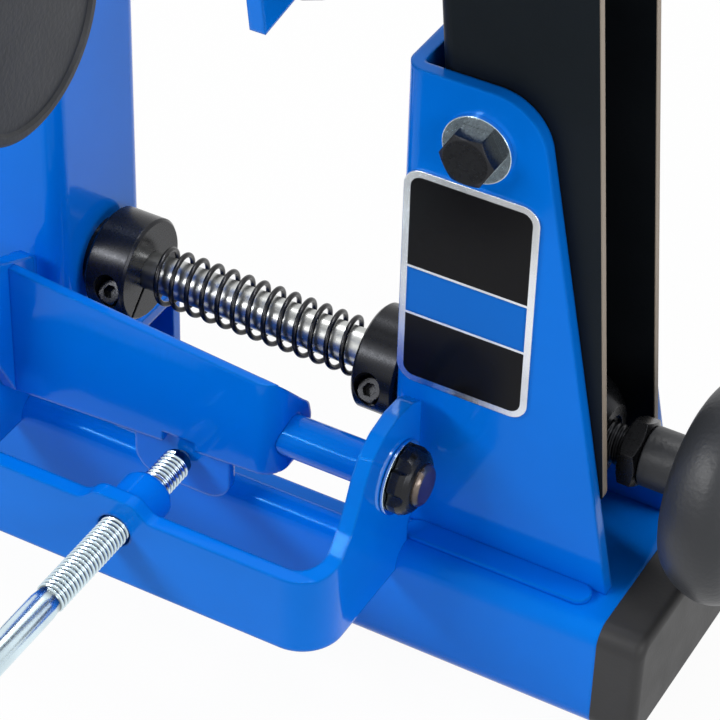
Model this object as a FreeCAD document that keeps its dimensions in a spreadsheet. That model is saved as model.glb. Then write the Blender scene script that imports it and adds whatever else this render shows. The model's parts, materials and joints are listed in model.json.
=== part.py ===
import FreeCAD, Part
import math
import os
import re
import Sketcher
from FreeCAD import Placement, Rotation, Vector

# Bicycle wheel truing stand, millimetres.
# X runs along the base, Y towards the back, Z up.
# The origin is the middle of the base's underside.

doc = FreeCAD.newDocument("TruingStand")
sheet = doc.addObject("Spreadsheet::Sheet", "Sizes")

SIZES = {
    # Base beam, a steel tube with a wheel notch behind its middle
    "base_margin": 4.6,
    "base_half_depth": 37.5,
    "base_height": 39,
    "base_wall": 4,
    "base_round": 6,
    "lip_depth": 6.5,
    "notch_half_length": 53,
    "notch_round": 5,
    "floor_back": 8,
    "cap_length": 14,
    "cap_round": 3,
    "plug_length": 11,
    "plug_gap": 0.3,
    # Side brackets, folded steel channels that open outwards
    "web_gap": 56,
    "sheet": 4,
    "bracket_half_depth": 22.5,
    "fold_round": 5.5,
    "bracket_top": 196,
    "foot_reach": 71.9,
    "shoulder_reach": 40.6,
    "shoulder_round": 17,
    "bead_width": 8,
    "bead_height": 1.6,
    "bead_start": 9,
    "bead_end": 3,
    # Name plate without lettering
    "plate_start": 2,
    "plate_width": 41,
    "plate_low": 92,
    "plate_height": 72.5,
    "plate_thick": 0.8,
    "plate_round": 5.5,
    # Upright pivots
    "bolt_x": 79.4,
    "bolt_z": 177.8,
    "bolt_radius": 4.76,
    "hole_play": 0.05,
    "washer_radius": 10.3,
    "washer_thick": 1.6,
    "head_flats": 14.3,
    "head_height": 6.4,
    "nut_height": 8,
    "thread_end": 3,
    # Uprights, leaning inwards
    "upright_tilt": 5,
    "upright_side_gap": 0.35,
    "upright_wall": 2.4,
    "upright_round": 4.5,
    "upright_inner": 13.5,
    "upright_outer": 33.5,
    "upright_below": 114,
    "upright_above": 312,
    "taper_start": 250,
    "tip_width": 17,
    "toe_round": 5,
    "tip_round": 7,
    "axle_drop": 18,
    "axle_slot_width": 12.5,
    "shaft_window_height": 26,
    "shaft_window_width": 20,
    "dropout_thick": 3,
    "dropout_half_width": 11,
    "dropout_below": 34,
    "dropout_slot": 10.4,
    "dropout_screw_drop": 24,
    "dropout_round": 5,
    "screw_radius": 2.5,
    "screw_head_radius": 4.6,
    "screw_head_height": 2.6,
    # Cross shaft that moves the uprights
    "shaft_z": 75.3,
    "shaft_radius": 6,
    "shaft_left_end": 121,
    "shaft_right_end": 139,
    "collar_inner": 39.2,
    "collar_width": 13.8,
    "collar_radius": 16.2,
    "collar_chamfer": 0.8,
    "collar_slit": 1.5,
    "collar_screw_radius": 3.6,
    "collar_screw_place": 10.9,
    "collar_recess_radius": 4.3,
    "collar_screw_inset": 5.6,
    "collar_tilt": 45,
    "collar_screw_sink": 5,
    "collar_play": 0.02,
    "bush_flange_radius": 12,
    "bush_radius": 9,
    "bush_play": 0.05,
    "spring_wire": 1.6,
    "spring_outer": 18.2,
    "spring_pitch": 5.35,
    "spring_seat_gap": 0.3,
    "ball_radius": 18.8,
    "ball_x": 100.2,
    "ball_half_depth": 15.2,
    "ball_face": 15.3,
    "ball_nose": 20.2,
    "ball_nose_radius": 9,
    "ball_sink_radius": 7.6,
    "ball_sink_depth": 1,
    "jam_flats": 19,
    "jam_start": 121.4,
    "jam_width": 6,
    "neck_radius": 9,
    "neck_start": 127.7,
    "knob_start": 141.5,
    "knob_radius": 34,
    "knob_back_radius": 27.5,
    "knob_depth": 25,
    "knob_face_radius": 24,
    "knob_bore_depth": 8,
    # Front yoke, a bent strip with two ears
    "yoke_front": 82.5,
    "yoke_half_width": 67.8,
    "yoke_wall": 4.8,
    "yoke_low": 32.5,
    "yoke_high": 59,
    "yoke_round": 13,
    "ear_top": 92,
    "ear_back": 25.6,
    "ear_foot_back": 31,
    "ear_foot_high": 46,
    "boss_radius": 12,
    "boss_shoulder": 16.5,
    "screw_hole_play": 0.7,
    "boss_back_radius": 8.2,
    "boss_back_length": 14,
    "arm_screw_z": 51.6,
    # Caliper arm
    "pivot_y": 38.5,
    "pivot_z": 69.5,
    "rod_radius": 6.4,
    "rod_overhang": 9.2,
    "spacer_gap": 0.3,
    "spacer_radius": 11.4,
    "spacer_width": 0.9,
    "push_nut_radius": 10.3,
    "push_nut_width": 6,
    "arm_front": 47.5,
    "arm_wall": 3,
    "arm_right": 33,
    "arm_end_gap": 1,
    "arm_right_low": 59.2,
    "arm_right_high": 91.6,
    "arm_left_low": 54,
    "arm_left_high": 100,
    "arm_bend": 7,
    "arm_cheek": 11.2,
    "screw_notch_half_width": 5.5,
    "screw_notch_high": 60.6,
    "tab_left": 17,
    "tab_right": 15.5,
    "tab_low": 39.5,
    "tab_front": 44.5,
    "tab_round": 8,
    "leg_wall": 4.5,
    "knob_axis_y": 60,
    "knob_axis_z": 197,
    "leg_top_radius": 16,
    "leg_back": 34.5,
    "leg_notch": 4.5,
    "leg_rise": 4,
    "leg_waist": 1.5,
    "leg_neck_high": 152,
    # Screw that swings the arm
    "screw_tip_gap": 0.3,
    "pad_radius": 2.3,
    "pad_length": 2,
    "pad_spigot_radius": 1.5,
    "pad_spigot_length": 6,
    "arm_screw_radius": 4.76,
    "arm_screw_thread_end": 116,
    "arm_screw_shank_radius": 4.6,
    "arm_screw_taper": 2.6,
    "arm_neck_length": 5.2,
    "arm_screw_end": 178,
    # Caliper head on the arm
    "head_tilt": 9.6,
    "lug_wall": 4.5,
    "lug_gap": 0.3,
    "stud_radius": 4,
    "clamp_neck_radius": 9,
    "clamp_neck_length": 2.5,
    "clamp_knob_depth": 14,
    "head_rise": 66,
    "head_right": 50.5,
    "lug_half_width": 12,
    "rail_rise": 17,
    "rail_radius": 4,
    "lead_radius": 4,
    "bridge_wall": 4,
    "bridge_front": 17,
    "bridge_low": 10,
    "bridge_high": 26,
    "lug_top": 26,
    "small_knob_radius": 17,
    "small_knob_depth": 14,
    "small_knob_gap": 0.5,
    "slider_inner": 20,
    "slider_width": 16,
    "slider_half_depth": 9,
    "slider_low": 9,
    "slider_high": 25,
    "finger_wall": 5,
    "finger_inner": 25,
    "finger_reach": 74,
    "finger_width": 14,
    "finger_bend": 18,
    "tip_radius": 3.2,
    "tip_length": 11,
    # Shared by every cut
    "overrun": 2,
}

for row, (alias, number) in enumerate(SIZES.items(), start=1):
    sheet.set("A%d" % row, alias)
    sheet.set("B%d" % row, str(number))
    sheet.setAlias("B%d" % row, alias)
doc.recompute()

# Shares of an outline's own width or height
EAR_SHARES = ((1.013, 0.0), (0.878, 0.076), (0.76, 0.27), (0.685, 0.46), (0.62, 0.68), (0.54, 0.85),
              (0.43, 0.95), (0.27, 1.0), (0.11, 0.98), (0.0, 0.89))
SMALL_KNOB_SHARES = ((0.0, 0.6), (0.18, 0.92), (0.5, 1.0), (0.82, 0.92), (1.0, 0.66))
CHEEK_ANGLES = range(60, -91, -30)
FLUTE_COUNT = 6
FLUTE_PLACE_SHARE = 1.17
SPRING_TURNS = 13

# Lengths that follow from others
BASE_HALF = "(web_gap + foot_reach + base_margin)"
AXLE = "(upright_above - axle_drop)"
ARM_LEFT = "(yoke_half_width - yoke_wall - arm_end_gap - leg_wall)"

PLANES = {"XY": Vector(0, 0, 1), "XZ": Vector(0, -1, 0), "YZ": Vector(1, 0, 0)}
TURNS = {
    "X": Rotation(Vector(0, 1, 0), 90),
    "Y": Rotation(Vector(1, 0, 0), -90),
    "Z": Rotation(),
}
finished = {}


def read(name):
    """A size from the sheet, as a number."""
    return float(sheet.get(name))


def bound(text):
    """An expression in plain aliases, written for the sheet."""
    def swap(match):
        word = match.group(0)
        return "Sizes." + word if word in SIZES else word
    return re.sub(r"[A-Za-z_]+", swap, str(text))


def drive(thing, **wanted):
    """Bind properties, such as Length, to expressions."""
    for key, text in wanted.items():
        thing.setExpression(key.replace("__", "."), bound(text))
    return thing


def place(thing, x="0", y="0", z="0"):
    thing.setExpression("Placement.Base.x", bound(x))
    thing.setExpression("Placement.Base.y", bound(y))
    thing.setExpression("Placement.Base.z", bound(z))
    return thing


def block(name, x, y, z, length, width, height):
    box = doc.addObject("Part::Box", name)
    drive(box, Length=length, Width=width, Height=height)
    return place(box, x, y, z)


def rod(name, axis, x, y, z, radius, length):
    cylinder = doc.addObject("Part::Cylinder", name)
    cylinder.Placement = Placement(Vector(), TURNS[axis])
    drive(cylinder, Radius=radius, Height=length)
    return place(cylinder, x, y, z)


def hexagon(name, axis, x, y, z, flats, length):
    prism = doc.addObject("Part::Prism", name)
    prism.Polygon = 6
    prism.Placement = Placement(Vector(), TURNS[axis])
    drive(prism, Circumradius="(%s) / 2 / cos(30 deg)" % flats, Height=length)
    return place(prism, x, y, z)


def chamfered(name, axis, x, y, z, flats, length, ends="ab"):
    """Hexagon whose corners are turned off at its ends."""
    prism = hexagon(name + "_prism", axis, x, y, z, flats, length)
    corner = "(%s) / 2 / cos(30 deg)" % flats
    slope = "(%s - (%s) / 2 * 0.94) * 0.55" % (corner, flats)
    near = "(%s) / 2 * 0.94" % flats if "a" in ends else corner
    far = "(%s) / 2 * 0.94" % flats if "b" in ends else corner
    envelope = turned(
        name + "_cone", axis,
        [("0", "0"), ("0", near), (slope, corner + " * 1.01"),
         ("%s - %s" % (length, slope), corner + " * 1.01"), (length, far), (length, "0")], x, y, z)
    both = doc.addObject("Part::Common", name)
    both.Base = prism
    both.Tool = envelope
    return both


def joined(name, *things):
    union = doc.addObject("Part::MultiFuse", name)
    union.Shapes = list(things)
    union.Refine = True
    return union


def less(name, base, *tools):
    cut = doc.addObject("Part::Cut", name)
    cut.Base = base
    cut.Tool = tools[0] if len(tools) == 1 else joined(name + "_tools", *tools)
    cut.Refine = True
    return cut


def mirrored(name, source):
    twin = doc.addObject("Part::Mirroring", name)
    twin.Source = source
    twin.Normal = (1, 0, 0)
    twin.Base = (0, 0, 0)
    return twin


def opposite(name, source):
    """The same piece turned half round the vertical axis."""
    copy = group(name, source)
    copy.Placement = Placement(Vector(), Rotation(Vector(0, 0, 1), 180))
    return copy


def group(name, *things):
    compound = doc.addObject("Part::Compound", name)
    compound.Links = list(things)
    return compound


def outline_sketch(body, name, plane, outline):
    """A closed outline whose every corner is bound to the sheet."""
    sketch = body.newObject("Sketcher::SketchObject", name)
    origin = [item for item in body.Origin.OriginFeatures if item.Role == plane + "_Plane"][0]
    sketch.AttachmentSupport = [(origin, "")]
    sketch.MapMode = "FlatFace"
    count = len(outline)
    ring = [Vector(math.cos(math.tau * i / count), math.sin(math.tau * i / count), 0) for i in range(count)]
    for i in range(count):
        sketch.addGeometry(Part.LineSegment(ring[i], ring[(i + 1) % count]))
    for i in range(count):
        sketch.addConstraint(Sketcher.Constraint("Coincident", i, 2, (i + 1) % count, 1))
    for i, corner in enumerate(outline):
        for kind, value, text in (("DistanceX", ring[i].x, corner[0]), ("DistanceY", ring[i].y, corner[1])):
            index = sketch.addConstraint(Sketcher.Constraint(kind, -1, 1, i, 1, value))
            sketch.setExpression("Constraints[%d]" % index, bound(text))
    return sketch


def corner_edges(shape, sketch, plane, corners):
    """Names of the straight edges that stand on the outline's corners."""
    normal = PLANES[plane]
    back = sketch.Placement.inverse()
    spots = [sketch.Geometry[i].StartPoint for i in corners]
    names = []
    for number, edge in enumerate(shape.Edges, start=1):
        if len(edge.Vertexes) != 2 or not isinstance(edge.Curve, Part.Line):
            continue
        along = edge.Vertexes[1].Point - edge.Vertexes[0].Point
        if abs(along.normalize().dot(normal)) < 0.999:
            continue
        middle = back.multVec(edge.CenterOfMass)
        middle.z = 0
        if any((middle - spot).Length < read("hole_play") for spot in spots):
            names.append("Edge%d" % number)
    return names


def plate(name, plane, outline, start, thick, rounds=()):
    """A flat piece of the given outline, from start along its plane's world axis."""
    body = doc.addObject("PartDesign::Body", name)
    sketch = outline_sketch(body, name + "_outline", plane, outline)
    offset = "-(%s)" % start if plane == "XZ" else start
    sketch.setExpression("AttachmentOffset.Base.z", bound(offset))
    pad = body.newObject("PartDesign::Pad", name + "_pad")
    pad.Profile = sketch
    pad.Reversed = plane == "XZ"
    drive(pad, Length=thick)
    doc.recompute()
    last = pad
    for step, (corners, radius) in enumerate(rounds):
        fillet = body.newObject("PartDesign::Fillet", "%s_round%d" % (name, step))
        fillet.Base = (last, corner_edges(last.Shape, sketch, plane, corners))
        drive(fillet, Radius=radius)
        doc.recompute()
        last = fillet
    return body


def turned(name, axis, profile, x="0", y="0", z="0"):
    """A turned piece: the profile gives places along the axis and radii."""
    body = doc.addObject("PartDesign::Body", name)
    plane = {"X": "XZ", "Y": "YZ"}[axis]
    sketch = outline_sketch(body, name + "_profile", plane, profile)
    revolution = body.newObject("PartDesign::Revolution", name + "_turn")
    revolution.Profile = sketch
    revolution.ReferenceAxis = (sketch, ["H_Axis"])
    revolution.Angle = 360
    return place(body, x, y, z)


def leaning(thing, x, z, angle):
    """Turn a piece that was made about the origin, and carry it to its pivot."""
    thing.Placement = Placement(Vector(), Rotation(Vector(0, 1, 0), 1))
    thing.setExpression("Placement.Rotation.Angle", bound(angle))
    return place(thing, x, "0", z)


def tilted(thing, y, z, angle):
    thing.Placement = Placement(Vector(), Rotation(Vector(1, 0, 0), 1))
    thing.setExpression("Placement.Rotation.Angle", bound(angle))
    return place(thing, "0", y, z)


def rounded(name, thing, radius, test):
    """Fillet the edges of a solid that pass a test."""
    doc.recompute()
    fillet = doc.addObject("Part::Fillet", name)
    fillet.Base = thing
    width = read(radius)
    chosen = [n for n, edge in enumerate(thing.Shape.Edges, start=1) if test(edge)]
    fillet.Edges = [(n, width, width) for n in chosen]
    return fillet


def piece(node, thing):
    thing.Label = node
    finished[node] = thing
    return thing


def pair(node, thing, twin_of="right", twin="left"):
    """The right-hand piece and its mirror image on the left."""
    piece("%s_%s" % (node, twin_of), thing)
    piece("%s_%s" % (node, twin), mirrored(node + "_twin", thing))


def rectangle(left, right, low, high):
    return [(left, low), (right, low), (right, high), (left, high)]


# Base beam
def make_base():
    skin = plate(
        "base_skin", "YZ", rectangle("-base_half_depth", "base_half_depth", "0", "base_height"),
        "-" + BASE_HALF, "2 * " + BASE_HALF, [((0, 1, 2, 3), "base_round")])
    inner = plate(
        "base_inner", "YZ",
        rectangle("base_wall - base_half_depth", "base_half_depth - base_wall",
                  "base_wall", "base_height - base_wall"),
        "-%s - overrun" % BASE_HALF, "2 * (%s + overrun)" % BASE_HALF,
        [((0, 1, 2, 3), "base_round - base_wall")])
    notch = plate(
        "base_notch", "XY",
        rectangle("-notch_half_length", "notch_half_length",
                  "lip_depth - base_half_depth", "base_half_depth + overrun"),
        "base_wall", "base_height + overrun", [((0, 1), "notch_round")])
    floor_notch = plate(
        "base_floor_notch", "XY",
        rectangle("-notch_half_length", "notch_half_length", "floor_back", "base_half_depth + overrun"),
        "-overrun", "base_wall + 2 * overrun", [((0, 1), "notch_round")])
    return less("base_cut", skin, inner, notch, floor_notch)


def make_cap():
    flange = plate(
        "cap_flange", "YZ", rectangle("-base_half_depth", "base_half_depth", "0", "base_height"),
        BASE_HALF, "cap_length", [((0, 1, 2, 3), "base_round")])
    edge = "base_half_depth - base_wall - plug_gap"
    plug = plate(
        "cap_plug", "YZ",
        rectangle("-(%s)" % edge, edge, "base_wall + plug_gap", "base_height - base_wall - plug_gap"),
        BASE_HALF + " - plug_length", "plug_length + cap_length / 2",
        [((0, 1, 2, 3), "base_round - base_wall")])
    whole = joined("cap_whole", flange, plug)
    doc.recompute()
    end = whole.Shape.BoundBox.XMax

    def outer_rim(edge):
        return all(abs(v.X - end) < read("hole_play") for v in edge.Vertexes)
    return rounded("cap_soft", whole, "cap_round", outer_rim)


# Side brackets
def make_bracket():
    channel = plate(
        "bracket_channel", "XY",
        [("web_gap", "-bracket_half_depth"),
         ("web_gap + foot_reach", "-bracket_half_depth"),
         ("web_gap + foot_reach", "sheet - bracket_half_depth"),
         ("web_gap + sheet", "sheet - bracket_half_depth"),
         ("web_gap + sheet", "bracket_half_depth - sheet"),
         ("web_gap + foot_reach", "bracket_half_depth - sheet"),
         ("web_gap + foot_reach", "bracket_half_depth"),
         ("web_gap", "bracket_half_depth")],
        "base_height", "bracket_top - base_height",
        [((0, 7), "fold_round"), ((3, 4), "fold_round - sheet")])
    side = plate(
        "bracket_side", "XZ",
        [("web_gap - overrun", "base_height"),
         ("web_gap + foot_reach", "base_height"),
         ("web_gap + shoulder_reach", "bracket_top"),
         ("web_gap - overrun", "bracket_top")],
        "-bracket_half_depth - overrun", "2 * (bracket_half_depth + overrun)", [((2,), "shoulder_round")])
    shaped = doc.addObject("Part::Common", "bracket_shaped")
    shaped.Base = channel
    shaped.Tool = side
    bolt_hole = rod("bracket_bolt_hole", "Y", "bolt_x", "-bracket_half_depth - overrun", "bolt_z",
                    "bolt_radius + hole_play", "2 * (bracket_half_depth + overrun)")
    bush_hole = rod("bracket_bush_hole", "X", "web_gap - overrun", "0", "shaft_z",
                    "bush_radius + hole_play", "sheet + 2 * overrun")
    return less("bracket_cut", shaped, bolt_hole, bush_hole)


def make_beads():
    """Weld beads along the front and rear foot of each bracket."""
    beads = []
    for name, start in (("front", "-bracket_half_depth - bead_width"), ("rear", "bracket_half_depth")):
        bead = plate(
            "bead_" + name, "XY",
            [("web_gap + bead_start", start), ("web_gap + foot_reach - bead_end", start),
             ("web_gap + foot_reach - bead_end", "%s + bead_width" % start),
             ("web_gap + bead_start", "%s + bead_width" % start)],
            "base_height", "bead_height", [((0, 1, 2, 3), "bead_width * 0.49")])
        beads += [bead, mirrored("bead_%s_left" % name, bead)]
    return group("beads", *beads)


def make_name_plate():
    return plate(
        "plate_body", "XZ",
        rectangle("web_gap + plate_start", "web_gap + plate_start + plate_width",
                  "plate_low", "plate_low + plate_height"),
        "-bracket_half_depth - plate_thick", "plate_thick", [((0, 1, 2, 3), "plate_round")])


# Upright pivots
def make_pivots():
    reach = "bracket_half_depth"
    shank = rod("bolt_shank", "Y", "bolt_x", "-%s - washer_thick" % reach, "bolt_z", "bolt_radius",
                "2 * (%s + washer_thick) + nut_height + thread_end" % reach)
    head = chamfered("bolt_head", "Y", "bolt_x", "-%s - washer_thick - head_height" % reach, "bolt_z",
                     "head_flats", "head_height", "a")
    bolt = joined("bolt_whole", shank, head)
    piece("pivot_bolts", group("bolts", bolt, mirrored("bolt_left", bolt)))
    rings = []
    for name, start in (("front", "-%s - washer_thick" % reach), ("rear", reach)):
        ring = less("washer_" + name,
                    rod("washer_disc_" + name, "Y", "bolt_x", start, "bolt_z",
                        "washer_radius", "washer_thick"),
                    rod("washer_hole_" + name, "Y", "bolt_x", "%s - overrun" % start, "bolt_z",
                        "bolt_radius + hole_play", "washer_thick + 2 * overrun"))
        rings += [ring, mirrored("washer_%s_left" % name, ring)]
    piece("pivot_washers", group("washers", *rings))
    nut = less("nut_ring",
               chamfered("nut_body", "Y", "bolt_x", "%s + washer_thick" % reach, "bolt_z",
                         "head_flats", "nut_height"),
               rod("nut_hole", "Y", "bolt_x", reach, "bolt_z",
                   "bolt_radius + hole_play", "nut_height + 2 * washer_thick"))
    piece("pivot_nuts", group("nuts", nut, mirrored("nut_left", nut)))


# Uprights, made about their pivot and then leaned inwards
def make_upright():
    half = "bracket_half_depth - sheet - upright_side_gap"
    channel = plate(
        "upright_channel", "XY",
        [("-upright_inner", "-(%s)" % half), ("upright_outer", "-(%s)" % half),
         ("upright_outer", "upright_wall - (%s)" % half),
         ("upright_wall - upright_inner", "upright_wall - (%s)" % half),
         ("upright_wall - upright_inner", "%s - upright_wall" % half),
         ("upright_outer", "%s - upright_wall" % half),
         ("upright_outer", half), ("-upright_inner", half)],
        "-upright_below", "upright_below + upright_above",
        [((0, 7), "upright_round"), ((3, 4), "upright_round - upright_wall")])
    side = plate(
        "upright_side", "XZ",
        [("-upright_inner - overrun", "-upright_below"), ("upright_outer", "-upright_below"),
         ("upright_outer", "taper_start"), ("tip_width - upright_inner", "upright_above"),
         ("-upright_inner - overrun", "upright_above")],
        "-bracket_half_depth", "2 * bracket_half_depth", [((1,), "toe_round"), ((2, 3), "tip_round")])
    shaped = doc.addObject("Part::Common", "upright_shaped")
    shaped.Base = channel
    shaped.Tool = side
    pivot_hole = rod("upright_pivot_hole", "Y", "0", "-bracket_half_depth", "0",
                     "bolt_radius + hole_play", "2 * bracket_half_depth")
    window = plate(
        "upright_window", "YZ",
        rectangle("-shaft_window_width / 2", "shaft_window_width / 2",
                  "shaft_z - bolt_z - shaft_window_height / 2", "shaft_z - bolt_z + shaft_window_height / 2"),
        "-upright_inner - overrun", "upright_wall + 2 * overrun",
        [((0, 1, 2, 3), "shaft_window_width * 0.49")])
    slot = block("upright_axle_slot", "-upright_inner - overrun", "-axle_slot_width / 2", AXLE,
                 "upright_wall + 2 * overrun", "axle_slot_width", "axle_drop + overrun")
    slot_end = rod("upright_axle_end", "X", "-upright_inner - overrun", "0", AXLE,
                   "axle_slot_width / 2", "upright_wall + 2 * overrun")
    screw_hole = rod("upright_screw_hole", "X", "-upright_inner - overrun", "0",
                     AXLE + " - dropout_screw_drop", "screw_radius + hole_play", "upright_wall + 2 * overrun")
    cut = less("upright_cut", shaped, pivot_hole, window, slot, slot_end, screw_hole)
    return leaning(cut, "bolt_x", "bolt_z", "-upright_tilt")


def make_dropout():
    """Hardened plate with the slot that the wheel's axle drops into."""
    body = plate(
        "dropout_body", "YZ",
        rectangle("-dropout_half_width", "dropout_half_width", AXLE + " - dropout_below", "upright_above"),
        "-upright_inner - dropout_thick", "dropout_thick", [((0, 1), "dropout_round")])
    slot = plate(
        "dropout_slot_cut", "YZ",
        [("-dropout_slot / 2", AXLE), ("dropout_slot / 2", AXLE),
         ("dropout_slot / 2", "upright_above - dropout_round"),
         ("dropout_half_width - dropout_round / 2", "upright_above + overrun"),
         ("dropout_round / 2 - dropout_half_width", "upright_above + overrun"),
         ("-dropout_slot / 2", "upright_above - dropout_round")],
        "-upright_inner - dropout_thick - overrun", "dropout_thick + 2 * overrun")
    slot_end = rod("dropout_slot_end", "X", "-upright_inner - dropout_thick - overrun", "0", AXLE,
                   "dropout_slot / 2", "dropout_thick + 2 * overrun")
    screw_hole = rod("dropout_screw_hole", "X", "-upright_inner - dropout_thick - overrun", "0",
                     AXLE + " - dropout_screw_drop", "screw_radius + hole_play",
                     "dropout_thick + 2 * overrun")
    cut = less("dropout_cut", body, slot, slot_end, screw_hole)
    return leaning(cut, "bolt_x", "bolt_z", "-upright_tilt")


def make_dropout_screw():
    drop = AXLE + " - dropout_screw_drop"
    head = rod("dropout_screw_head", "X", "-upright_inner - dropout_thick - screw_head_height", "0", drop,
               "screw_head_radius", "screw_head_height")
    shank = rod("dropout_screw_shank", "X", "-upright_inner - dropout_thick", "0", drop,
                "screw_radius", "dropout_thick + upright_wall + screw_head_height")
    return leaning(joined("dropout_screw", head, shank), "bolt_x", "bolt_z", "-upright_tilt")


# Cross shaft with its collars, spring and knob
def make_shaft():
    return rod("shaft_rod", "X", "-shaft_left_end", "0", "shaft_z", "shaft_radius",
               "shaft_left_end + shaft_right_end + knob_bore_depth")


def make_collar():
    """Clamping collar, made with its slit below and then turned towards the front."""
    ring = turned(
        "collar_ring", "X",
        [("collar_inner", "shaft_radius + collar_play"),
         ("collar_inner", "collar_radius - collar_chamfer"),
         ("collar_inner + collar_chamfer", "collar_radius"),
         ("collar_inner + collar_width - collar_chamfer", "collar_radius"),
         ("collar_inner + collar_width", "collar_radius - collar_chamfer"),
         ("collar_inner + collar_width", "shaft_radius + collar_play")])
    slit = block("collar_slit_cut", "collar_inner - overrun", "-collar_slit / 2", "-collar_radius - overrun",
                 "collar_width + 2 * overrun", "collar_slit", "collar_radius + overrun")
    sink = rod("collar_screw_sink_cut", "Y", "collar_inner + collar_screw_inset", "-collar_radius - overrun",
               "-collar_screw_place", "collar_recess_radius",
               "collar_radius + overrun - collar_slit / 2 - collar_screw_sink / 2")
    return tilted(less("collar_cut", ring, slit, sink), "0", "shaft_z", "-collar_tilt")


def make_collar_screw():
    start = "-sqrt(collar_radius ^ 2 - collar_screw_place ^ 2) + collar_screw_sink / 2"
    end = "-collar_slit / 2 - collar_screw_sink / 2"
    x = "collar_inner + collar_screw_inset"
    body = rod("collar_screw_body", "Y", x, start, "-collar_screw_place", "collar_screw_radius",
               "(%s) - (%s)" % (end, start))
    socket = hexagon("collar_screw_socket", "Y", x, "%s - overrun" % start, "-collar_screw_place",
                     "collar_screw_radius", "collar_screw_sink / 2 + overrun")
    return tilted(less("collar_screw", body, socket), "0", "shaft_z", "-collar_tilt")


def make_bush():
    """Flanged bush that carries the shaft in the bracket's web."""
    return turned(
        "bush", "X",
        [("collar_inner + collar_width", "shaft_radius + bush_play"),
         ("collar_inner + collar_width", "bush_flange_radius"),
         ("web_gap", "bush_flange_radius"),
         ("web_gap", "bush_radius"),
         ("web_gap + sheet", "bush_radius"),
         ("web_gap + sheet", "shaft_radius + bush_play")], z="shaft_z")


def biarc(start, start_way, end, end_way):
    """Two tangent arcs from one point and direction to another."""
    gap = end - start
    both = start_way + end_way
    a = 2 * (start_way.dot(end_way) - 1)
    b = -2 * gap.dot(both)
    c = gap.dot(gap)
    reach = (-b - math.sqrt(b * b - 4 * a * c)) / (2 * a)
    if reach < 0:
        reach = (-b + math.sqrt(b * b - 4 * a * c)) / (2 * a)
    first = start + start_way * reach
    second = end - end_way * reach
    joint = (first + second) / 2
    arcs = []
    for near, knee, far in ((start, first, joint), (joint, second, end)):
        middle = (near + far) / 2
        half = (far - near).Length / 2
        angle = math.acos(min(1, half / (knee - near).Length))
        bulge = (knee - middle).normalize() * (half * math.tan(angle / 2))
        arcs.append(Part.Arc(near, middle + bulge, far).toShape())
    return arcs


def make_spring():
    """Coil spring round the shaft, straight for one wire diameter at each end."""
    wire = read("spring_wire")
    radius = (read("spring_outer") - wire) / 2
    bend = 1.5 * wire
    pitch = read("spring_pitch")
    rise = pitch / math.tau
    span = SPRING_TURNS * pitch
    end = read("collar_inner") - read("spring_seat_gap")
    axis_z = read("shaft_z")

    def spot(turn):
        angle = math.tau * turn
        return Vector(turn * pitch - span / 2, radius * math.cos(angle), axis_z + radius * math.sin(angle))

    def way(turn):
        angle = math.tau * turn
        return Vector(rise, -radius * math.sin(angle), radius * math.cos(angle)).normalize()

    def lead(side):
        """The bend and straight end that meet the collar squarely."""
        turn = 0 if side < 0 else SPRING_TURNS
        here = spot(turn)
        out = way(turn) * side
        foot = here + out * bend
        foot.x = here.x + side * bend
        top = Vector(side * end, foot.y, foot.z)
        return here, out, foot, top

    parts = []
    here, out, foot, top = lead(-1)
    parts.append(Part.LineSegment(top, foot).toShape())
    parts += biarc(foot, Vector(1, 0, 0), here, way(0))
    quarters = 4 * SPRING_TURNS
    for i in range(quarters):
        parts += biarc(spot(i / 4), way(i / 4), spot((i + 1) / 4), way((i + 1) / 4))
    here, out, foot, top = lead(1)
    parts += biarc(here, way(SPRING_TURNS), foot, Vector(1, 0, 0))
    parts.append(Part.LineSegment(foot, top).toShape())
    path = Part.Wire(parts)
    start = Vector(-end, path.Edges[0].Vertexes[0].Y, path.Edges[0].Vertexes[0].Z)
    ring = Part.Wire([Part.Circle(start, Vector(1, 0, 0), wire / 2).toShape()])
    shell = Part.BRepOffsetAPI.MakePipeShell(path)
    shell.add(ring)
    shell.build()
    shell.makeSolid()
    spring = doc.addObject("Part::Feature", "spring_coil")
    spring.Shape = shell.shape()
    points = [spot(i / 40) for i in range(40 * SPRING_TURNS + 1)]
    apart = min((points[i] - points[j]).Length
                for i in range(0, len(points), 5) for j in range(i + 24, len(points)))
    print("spring: least gap to itself %.2f mm, volume share %.4f" % (
        apart - wire, spring.Shape.Volume / (math.pi * wire * wire / 4 * path.Length)))
    return spring


def make_ball_nut():
    """Ball-shaped nut that bears on the upright; flats between the flanges keep it from turning."""
    ball = doc.addObject("Part::Sphere", "ball")
    ball.Placement = Placement(Vector(), TURNS["X"])
    drive(ball, Radius="ball_radius")
    place(ball, "ball_x", "0", "shaft_z")
    limits = block("ball_limits", "ball_x - ball_radius", "-ball_half_depth",
                   "shaft_z - ball_radius - overrun", "ball_radius + ball_face", "2 * ball_half_depth",
                   "2 * (ball_radius + overrun)")
    flattened = doc.addObject("Part::Common", "ball_flattened")
    flattened.Base = ball
    flattened.Tool = limits
    nose = rod("ball_nose_ring", "X", "ball_x - ball_nose", "0", "shaft_z", "ball_nose_radius", "ball_nose")
    whole = joined("ball_whole", flattened, nose)
    bore = rod("ball_bore", "X", "ball_x - ball_nose - overrun", "0", "shaft_z", "shaft_radius + bush_play",
               "ball_nose + ball_radius + overrun")
    sink = rod("ball_sink", "X", "ball_x + ball_face - ball_sink_depth", "0", "shaft_z", "ball_sink_radius",
               "ball_sink_depth + overrun")
    return less("ball_cut", whole, bore, sink)


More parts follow.
